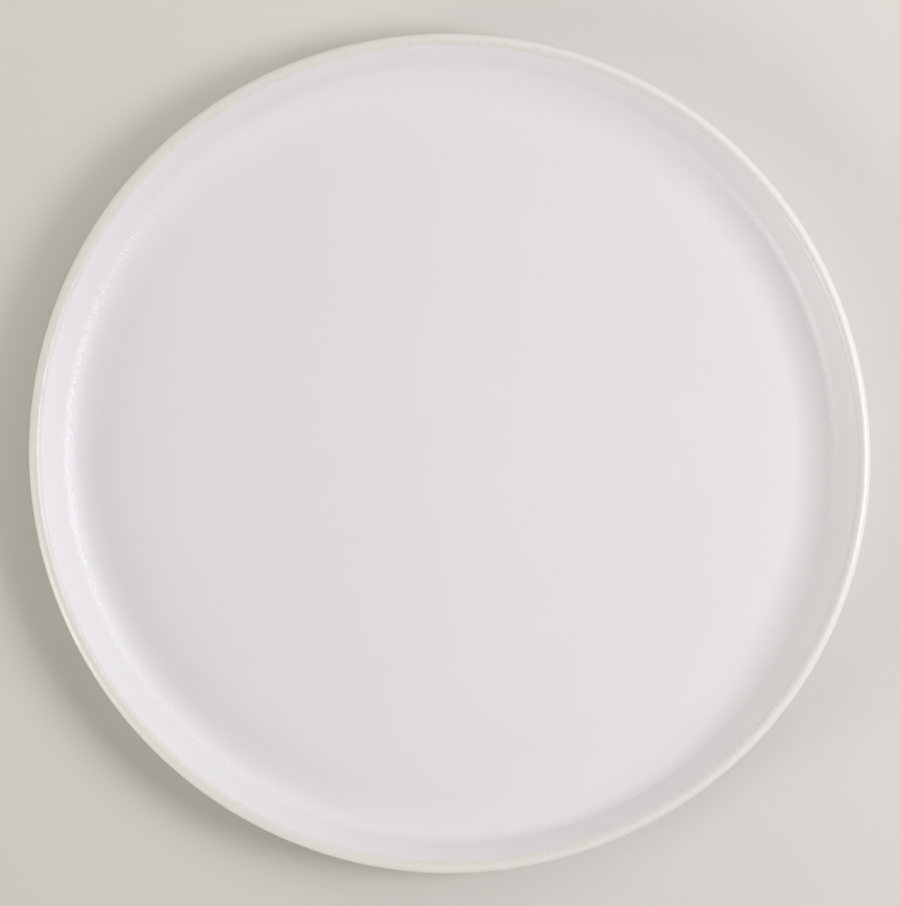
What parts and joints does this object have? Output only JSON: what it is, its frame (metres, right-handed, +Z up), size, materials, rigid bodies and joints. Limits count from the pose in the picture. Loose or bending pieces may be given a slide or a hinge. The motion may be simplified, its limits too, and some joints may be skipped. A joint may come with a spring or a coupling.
{
  "type": "dinner plate",
  "caption": "Round coupe dinner plate: a nearly level well that turns up in one sweep to a rounded lip, standing on a low foot ring. It holds a served meal.",
  "frame": {"origin": "centre of the foot ring's ground face, on the table that the plate stands on", "axes": "+Z up along the plate's axis of revolution; +X and +Y lie in the table and are free to choose, as the plate is round"},
  "size_m": [0.27, 0.27, 0.0212],
  "materials": {
    "fired_clay": "bare fired stoneware, fine sandy grain, ground flat on the foot",
    "satin_white_glaze": "satin white glaze with a finely pebbled surface",
    "cream_glaze": "satin glaze, thinner and creamier over the clay"
  },
  "bodies": {
    "root": {"stoneware_body": "fired_clay", "inner_glaze": "satin_white_glaze", "outer_glaze": "cream_glaze", "foot_well_glaze": "cream_glaze"}
  },
  "joints": []
}
